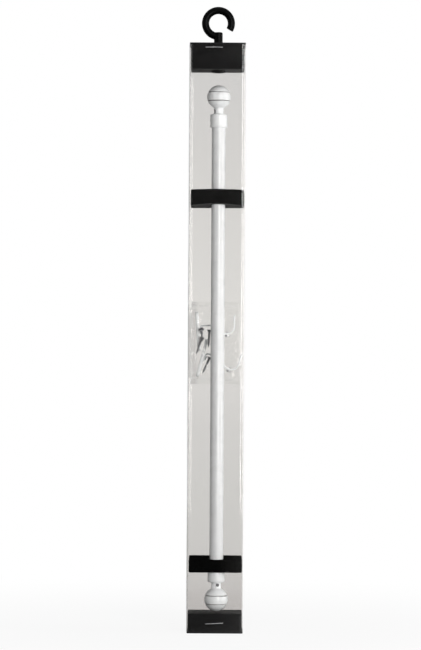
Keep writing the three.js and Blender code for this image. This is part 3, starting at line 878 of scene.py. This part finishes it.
def endCollar(node, name, body, tipUp):
    low, high = boxOf(node)
    radius = (high.x - low.x) / 2
    length, shoulder = rod["collarLength"], rod["shoulder"]
    tubeSeat = rod["innerRadius"] + 0.3
    outer = tubeSeat + 1.5
    if tipUp:
        inner = [(0, length - 3.5), (tubeSeat, length - 3.5), (tubeSeat, 8.3)]
    else:
        inner = [(0, 12.3)]
    recess = inner[-1][1]
    profile = [
        *inner, (outer, recess), (outer, 0.25), (outer + 0.25, 0), (radius - 0.4, 0),
        (radius - 0.1, 0.15), (radius, 0.5),
        *arc((radius - shoulder, length - shoulder), shoulder, 0, 90, 8),
        (rod["spigot"], length), (rod["spigot"], length + 9.6), (rod["spigot"] - 0.4, length + 10),
        (0, length + 10),
    ]
    cup = spun(profile, 96)
    if not tipUp:
        bmesh.ops.rotate(cup, cent=(0, 0, 0), matrix=Matrix.Rotation(math.pi, 3, "X"), verts=cup.verts[:])
    bmesh.ops.translate(cup, vec=(rodX, rodY, low.z if tipUp else high.z), verts=cup.verts[:])
    screw = middleOf("upper_set_screw" if tipUp else "lower_set_screw")
    axis = Vector((screw.x - rodX, screw.y - rodY, 0)).normalized()
    middle = Vector((rodX, rodY, screw.z))
    cup = cut(cup, pin(rod["screwHole"], middle + axis * 2.8, middle + axis * 9))
    finished(name, cup, "white_enamel", body, [node], smooth=32)


def tubeGuide():
    low, high = boxOf("inner_tube_guide")
    flange = (high.x - low.x) / 2
    spigot = rod["innerRadius"] - rod["tubeWall"] - 0.3
    shape = spun([
        (0, low.z), (flange - 0.6, low.z), (flange, low.z + 0.6), (flange, low.z + 4),
        (spigot, low.z + 4), (spigot, high.z - 0.5), (spigot - 0.5, high.z), (0, high.z),
    ])
    finished("tubeGuideBush", shape, "white_plastic", "rod_inner", ["inner_tube_guide"], onRodAxis)


tubes()
finial("upper_ball_finial", "upperBallFinial", "rod_inner", True, "upper_set_screw", "upperSetScrew")
finial("lower_ball_finial", "lowerBallFinial", "rod_outer", False, "lower_set_screw", "lowerSetScrew")
endCollar("upper_end_collar", "upperEndCollar", "rod_inner", True)
endCollar("lower_end_collar", "lowerEndCollar", "rod_outer", False)
tubeGuide()
print("rod ready")


foam = {
    "hole": 9.65,
    "edge": 1.1,
    "squeeze": 2.2,
    "nudge": 0.5,
    "voxel": 0.85,
    "lumps": 0.22,
    "lumpSizes": (6, 2.2),
    "fineShare": 0.4,
    "creases": (13.0, 19.6, 22.6, 25.6),
    "creaseWidth": 0.7,
    "creaseDepth": 0.7,
}


def foamHolder(node, name, lift, pitch, creased):
    low, high = boxOf(node)
    width, depth = high.x - low.x, high.y - low.y
    bm = softened(prism(width + foam["squeeze"], depth, 1.6, low.z, high.z), foam["edge"], 3)
    bmesh.ops.translate(bm, vec=(foam["nudge"], 0, 0), verts=bm.verts[:])
    hole = [pin(foam["hole"], (rodX, rodY, low.z - 3), (rodX, rodY, high.z + 3), 64)]
    if creased:
        collar = boxOf("lower_end_collar")
        radius = (collar[1].x - collar[0].x) / 2 + 0.4
        hole.append(pin(radius, (rodX, rodY, low.z - 1), (rodX, rodY, collar[1].z + 0.3), 64))
    bm = blended(cut(bm, *hole), foam["voxel"], 2)
    bm.normal_update()
    middle = (low + high) / 2
    coarse, fine = foam["lumpSizes"]
    for v in bm.verts:
        point = v.co.copy()
        lumps = noise.noise(point / coarse) * foam["lumps"]
        lumps += noise.noise(point / fine) * foam["lumps"] * foam["fineShare"]
        shift = v.normal * lumps
        front = max(0, (middle.y - point.y) / (depth / 2))
        if creased and v.normal.y < -0.5:
            groove = max(math.exp(-((point.x - x) / foam["creaseWidth"]) ** 2) for x in foam["creases"])
            shift.y += groove * foam["creaseDepth"]
        arch = 1 - (2 * (point.x - middle.x) / width) ** 2
        under = 1 - (point.z - low.z) / (high.z - low.z)
        shift.z += lift * arch * front * (0.4 + 0.6 * under) + pitch * (point.y - middle.y) / depth
        v.co += shift
    # the upper holder takes the lighter copy of the foam, painted light
    tone = None if creased else litFoamCopy
    piece = finished(name, bm, "black_foam", "rod_outer", [node], smooth=70, material=tone)


foamHolder("upper_foam_block", "upperFoamHolder", 2.6, -1.2, False)
foamHolder("lower_foam_block", "lowerFoamHolder", 0, 2.8, True)
print("foam ready")


bag = {
    "cells": (38, 12, 74),
    "fin": 5.0,
    "finThick": 0.5,
    "shoulder": 5.0,
    "crinkle": 1.5,
    "foldSize": (17, 13, 26),
    "foldShare": 1.3,
    "fineSize": 7,
    "fineShare": 0.5,
}


def hardwareBag():
    low, high = boxOf("hardware_bag")
    middle = (low + high) / 2
    half = (high - low) / 2
    reach = half.z + bag["fin"]
    bm = bmesh.new()
    bmesh.ops.create_cube(bm, size=2)
    for axis, cells in enumerate(bag["cells"]):
        along = [e for e in bm.edges if abs((e.verts[0].co - e.verts[1].co)[axis]) > 1.5]
        bmesh.ops.subdivide_edges(bm, edges=along, cuts=cells - 1, use_grid_fill=True)
    bmesh.ops.scale(bm, vec=(half.x - 0.3, half.y - 0.3, reach), verts=bm.verts[:])
    for v in bm.verts:
        end = (abs(v.co.z) - (half.z - bag["shoulder"])) / bag["shoulder"]
        flat = min(max(end, 0), 1)
        flat = flat * flat * (3 - 2 * flat)
        thin = 1 - flat * (1 - bag["finThick"] / half.y)
        corner = 1 - 0.3 * (abs(v.co.x) / half.x) ** 14
        v.co.y *= thin * corner
        v.co.x *= 1 - 0.05 * flat
    bmesh.ops.translate(bm, vec=middle, verts=bm.verts[:])
    bm.normal_update()
    across, deep, tall = bag["foldSize"]
    for v in bm.verts:
        point = v.co
        grid = Vector((point.x / across, point.y / deep, point.z / tall))
        fold = abs(noise.noise(grid + Vector((3, 1, 7)))) * bag["foldShare"]
        fine = abs(noise.noise(point / bag["fineSize"] + Vector((9, 4, 2)))) * bag["fineShare"]
        calm = 1 - 0.7 * min(max((abs(point.z - middle.z) - half.z) / 3, 0), 1)
        v.co = point - v.normal * bag["crinkle"] * (fold + fine) * calm
    bmesh.ops.recalc_face_normals(bm, faces=bm.faces[:])
    finished("hardwareBagFilm", bm, "bag_film", "rod_outer", ["hardware_bag"], smooth=22)


hardwareBag()
print("bag ready")


bracket = {
    "plateHeight": 54,
    "plateWidth": 19,
    "plateDepth": 4.4,
    "sheet": 1.4,
    "plateCorner": 5,
    "strap": 2.2,
    "strapWidth": 12,
    "cradleX": 42.5,
    "cradleZ": 4.8,
    "cradleRadius": 10.9,
    "armZ": 7.2,
    "bend": 3.0,
    "rivetZ": 1.1,
    "rimOffset": 8.75,
}
footX = bracket["plateDepth"] + 0.3 + bracket["strap"] / 2
standing = Matrix(((0, 0, 1, 0), (1, 0, 0, 0), (0, 1, 0, 0), (0, 0, 0, 1)))


def wallPlate():
    width, height, corner = bracket["plateWidth"], bracket["plateHeight"], bracket["plateCorner"]
    deep, sheet = bracket["plateDepth"], bracket["sheet"]
    pan = softened(prism(width, height, corner, 0, deep, steps=10), 1.1, 4, 60)
    pan = cut(pan, prism(width - 2 * sheet, height - 2 * sheet, corner - sheet, -2, deep - sheet))
    for y in (-19, 19):
        pan = cut(pan, pin(2.2, (0, y, -1), (0, y, deep + 1)))
        sink = bmesh.new()
        bmesh.ops.create_cone(sink, cap_ends=True, segments=24, radius1=2.2, radius2=3.6, depth=1.4)
        bmesh.ops.translate(sink, vec=(0, y, deep - 0.6), verts=sink.verts[:])
        pan = cut(pan, sink)
    bmesh.ops.transform(pan, matrix=standing, verts=pan.verts[:])
    return pan


def bracketArm():
    half = bracket["strapWidth"] / 2
    armZ, bend = bracket["armZ"], bracket["bend"]
    cradleX, cradleZ, radius = bracket["cradleX"], bracket["cradleZ"], bracket["cradleRadius"]
    limb = cradleX - radius
    drop = armZ - cradleZ
    bm = bmesh.new()
    ends = [bm.verts.new((footX, y, armZ - 11)) for y in (-half, half)]
    line = [bm.edges.new(ends)]

    def go(x, z):
        nonlocal line
        fresh = bmesh.ops.extrude_edge_only(bm, edges=line)["geom"]
        line = [item for item in fresh if isinstance(item, bmesh.types.BMEdge)]
        moved = [item for item in fresh if isinstance(item, bmesh.types.BMVert)]
        bmesh.ops.translate(bm, vec=(x, 0, z), verts=moved)

    def bendRound(x, z, angle, steps):
        nonlocal line
        turn = bmesh.ops.spin(
            bm, geom=line + list(line[0].verts), cent=(x, 0, z), axis=(0, 1, 0),
            angle=math.radians(angle), steps=steps, use_merge=False, use_duplicate=False,
        )
        line = [item for item in turn["geom_last"] if isinstance(item, bmesh.types.BMEdge)]

    go(0, 11 - bend)
    bendRound(footX + bend, armZ - bend, 90, 8)
    go(limb - drop - footX - bend, 0)
    bendRound(limb - drop, cradleZ, 90, 8)
    bendRound(cradleX, cradleZ, -180, 32)
    go(0, 7.5)
    go(0.15, 1.5)
    go(1.05, 5.8)
    bmesh.ops.remove_doubles(bm, verts=bm.verts[:], dist=0.001)
    bmesh.ops.recalc_face_normals(bm, faces=bm.faces[:])
    bm = modified(bm, "SOLIDIFY", thickness=bracket["strap"], offset=0, use_even_offset=True)
    bm = softened(bm, 0.45, 3, 60)
    rivetHole = pin(2.1, (footX - 3, 0, bracket["rivetZ"]), (footX + 3, 0, bracket["rivetZ"]))
    bottom = cradleZ - radius
    lockHole = pin(2.05, (cradleX, 0, bottom - 3), (cradleX, 0, bottom + 3))
    return cut(bm, rivetHole, lockHole)


def threaded(bm, radius, height, pitch, low, high, steps=12):
    # a fine ridge wound round a shank
    ridge = bmesh.new()
    root, half = radius - 0.15, 0.3 * pitch
    corners = [(root, low - half), (radius + height, low), (root, low + half)]
    face = ridge.faces.new([ridge.verts.new((x, 0, z)) for x, z in corners])
    turns = (high - low) / pitch
    bmesh.ops.spin(
        ridge, geom=[face], cent=(0, 0, 0), axis=(0, 0, 1), dvec=(0, 0, pitch / steps),
        angle=math.tau * turns, steps=int(turns * steps), use_merge=False, use_duplicate=False,
    )
    bmesh.ops.recalc_face_normals(ridge, faces=ridge.faces[:])
    return merged(bm, ridge)


def rivet():
    inside = bracket["plateDepth"] - bracket["sheet"] - 0.3
    outside = footX + bracket["strap"] / 2 + 0.2
    shape = spun([
        (0, inside - 1.1), (2.4, inside - 1.1), (3, inside - 0.5), (3, inside), (1.8, inside),
        (1.8, outside), (3.4, outside), (3.1, outside + 0.6), (2.2, outside + 1.3), (0, outside + 1.6),
    ], 32)
    place = Matrix.Translation((0, 0, bracket["rivetZ"])) @ Matrix.Rotation(math.radians(90), 4, "Y")
    bmesh.ops.transform(shape, matrix=place, verts=shape.verts[:])
    return shape


def lockScrew():
    under = bracket["cradleZ"] - bracket["cradleRadius"] - bracket["strap"] / 2 - 0.3
    shape = spun([
        (0, under - 2.6), (2.8, under - 2.6), (3.4, under - 2.1), (3.4, under - 0.2), (3.2, under),
        (1.5, under), (1.5, under + 4.4), (1, under + 5), (0, under + 5),
    ], 32)
    shape = cut(shape, block((8, 0.9, 1.8), (0, 0, under - 2.6)))
    shape = threaded(shape, 1.5, 0.28, 0.8, under + 0.4, under + 4.2)
    bmesh.ops.translate(shape, vec=(bracket["cradleX"], 0, 0), verts=shape.verts[:])
    return shape


def brackets():
    mounts = {m["name"]: m for m in frame["record"]["mounts"]}
    for number in (1, 2):
        mount = mounts[f"bracket_{number}_wall_face"]
        out = -Vector(mount["axis"])
        origin = Vector(mount["pos_m"]) / mm - Vector((0, bracket["rimOffset"], 0))
        lean = Matrix.Rotation(math.atan2(-out.z, out.x), 4, "Y")
        place = Matrix.Translation(origin) @ lean
        node = f"bracket_{number}"
        finished(f"bracket{number}WallPlate", wallPlate(), "white_enamel", "rod_outer",
                 [f"{node}_wall_plate"], place, 30)
        finished(f"bracket{number}Arm", bracketArm(), "white_enamel", "rod_outer",
                 [f"{node}_arm"], place, 40)
        finished(f"bracket{number}Rivet", rivet(), "steel_wire", "rod_outer", [f"{node}_rivet"], place)
        finished(f"bracket{number}LockScrew", lockScrew(), "steel_wire", f"{node}_lock",
                 [f"{node}_lock_screw"], place)


brackets()
print("brackets ready")


loose = {
    # x, y and z of each head, then its lean sideways and its dip in degrees
    "screws": [(-20.4, 1.7, 417, -5, 46), (-19.5, 3.6, 406, 18.6, 0), (-9.4, 3.6, 416.5, 3, 0),
               (-8.6, 3.4, 378.5, 24, 0)],
    "anchors": [(-1.8, 3.4, 431, 0.5, 0), (5.8, 3.4, 437, -0.5, 0), (5.8, 3.4, 375, 1, 0),
                (5.8, 3.4, 406, 0.5, 0)],
    "length": 25,
    "shank": 1.35,
    "head": 3.6,
    "anchorRadius": 3.0,
}


def woodScrew():
    length, shank, head = loose["length"], loose["shank"], loose["head"]
    shape = spun([
        (0, -length), (0.3, -length + 0.8), (shank, -length + 4.5), (shank, -8), (shank + 0.25, -7.4),
        (shank + 0.25, -3.6), (head, -0.5), (head, -0.15), (head - 0.2, 0), (0, 0),
    ], 32)
    shape = cut(shape, block((4.4, 0.9, 2.6), (0, 0, 0)), block((0.9, 4.4, 2.6), (0, 0, 0)))
    return threaded(shape, shank, 0.42, 1.9, -length + 4.5, -8)


def wallAnchor():
    length, radius = loose["length"], loose["anchorRadius"]
    profile = [(1.3, -length), (2.0, -length)]
    for ring in range(7):
        z = -length + 2 + ring * 2.2
        profile += [(radius - 0.5, z), (radius, z + 1.5), (radius - 0.5, z + 1.7)]
    profile += [(radius - 0.1, -2.6), (radius, -1.6), (radius + 1, -1.1), (radius + 1, -0.1),
                (radius + 0.9, 0), (1.5, 0)]
    shape = spun(profile, 32, closed=True)
    return cut(shape, block((9, 0.9, length - 8), (0, 0, -length / 2 - 4)))


def looseHardware():
    kinds = (("screw", woodScrew, "dark_steel", zinc), ("anchor", wallAnchor, "white_plastic", None))
    for kind, make, finish, material in kinds:
        for i, (x, y, z, lean, dip) in enumerate(loose[kind + "s"], 1):
            tip = Matrix.Rotation(math.radians(dip), 4, "X")
            turn = Matrix.Rotation(math.radians(lean), 4, "Y") @ tip
            place = Matrix.Translation((x, y, z)) @ turn
            name = f"wall{kind.capitalize()}{i}"
            finished(name, make(), finish, "rod_outer", [f"wall_{kind}_{i}"], place, material=material)


looseHardware()
print("screws and anchors ready")


studio = {
    "floor": 16.0,
    "distance": 3.8,
    "eye": 0.405,
    "lens": 153.6,
    "shift": (-0.0088, 0.02),
    "roll": 0.33,
    "ambient": 0.045,
    "glowFront": 0.04,
    "glowAround": 1.0,
}
lights = {
    "key": {"at": (0.85, -2.3, 0.55), "size": (0.7, 1.9), "power": 78},
    "side": {"at": (2.3, -0.45, 0.5), "size": (0.7, 1.9), "power": 40},
    "left": {"at": (-1.9, -0.6, 0.7), "size": (0.4, 1.6), "power": 1.0},
    "back": {"at": (0.3, 2.4, 0.9), "size": (1.4, 1.8), "power": 22, "mirrored": False},
    "top": {"at": (0.1, -0.2, 2.7), "size": (1.4, 1.4), "power": 14},
}


def softBox(name, at, size, power, mirrored=True):
    lamp = bpy.data.lights.new(name, "AREA")
    lamp.shape = "RECTANGLE"
    lamp.size, lamp.size_y = size
    lamp.energy = power
    light = bpy.data.objects.new(name, lamp)
    light.location = at
    aim = Vector((0, 0, studio["eye"])) - Vector(at)
    light.rotation_euler = aim.to_track_quat("-Z", "Y").to_euler()
    light.visible_glossy = mirrored
    scene.collection.objects.link(light)


def setWorld():
    # white surround, soft even light on matt surfaces, and a dark opening in front for the gloss
    world = bpy.data.worlds.new("studio")
    world.use_nodes = True
    scene.world = world
    tree = world.node_tree
    seen = tree.nodes["Background"]
    seen.inputs["Color"].default_value = (1, 1, 1, 1)
    cast = addNode(tree, "ShaderNodeBackground", Strength=studio["ambient"])
    cast.inputs["Color"].default_value = (0.97, 0.98, 1, 1)
    glow = addNode(tree, "ShaderNodeBackground")
    glow.inputs["Color"].default_value = (1, 1, 1, 1)
    heading = axisOf(tree, addNode(tree, "ShaderNodeTexCoord").outputs["Generated"], "Y")
    brightness = (studio["glowFront"], studio["glowAround"])
    tree.links.new(ranged(tree, heading, (-0.99, -0.84), brightness, True), glow.inputs["Strength"])
    path = addNode(tree, "ShaderNodeLightPath")
    around = mixedShader(tree, path.outputs["Is Glossy Ray"], cast.outputs[0], glow.outputs[0])
    whole = mixedShader(tree, path.outputs["Is Camera Ray"], around, seen.outputs[0])
    tree.links.new(whole, tree.nodes["World Output"].inputs["Surface"])


def setStudio():
    bm = bmesh.new()
    bmesh.ops.create_grid(bm, x_segments=2, y_segments=2, size=studio["floor"] / 2)
    mesh = bpy.data.meshes.new("studioFloor")
    bm.to_mesh(mesh)
    bm.free()
    mesh.materials.append(paleFloor())
    floor = bpy.data.objects.new("studioFloor", mesh)
    scene.collection.objects.link(floor)
    for name, light in lights.items():
        softBox(name, **light)
    setWorld()
    scene.view_settings.view_transform = "Standard"
    scene.cycles.transparent_max_bounces = 32


def setCamera():
    lens = bpy.data.cameras.new("frontCamera")
    lens.lens = studio["lens"]
    lens.shift_x, lens.shift_y = studio["shift"]
    lens.clip_end = 50
    camera = bpy.data.objects.new("frontCamera", lens)
    camera.location = (0, sleeveLow.y * mm - studio["distance"], studio["eye"])
    roll = Matrix.Rotation(math.radians(studio["roll"]), 3, "Z")
    camera.rotation_euler = (Matrix.Rotation(math.radians(90), 3, "X") @ roll).to_euler()
    scene.collection.objects.link(camera)
    scene.camera = camera


setStudio()
setCamera()
print("studio ready")
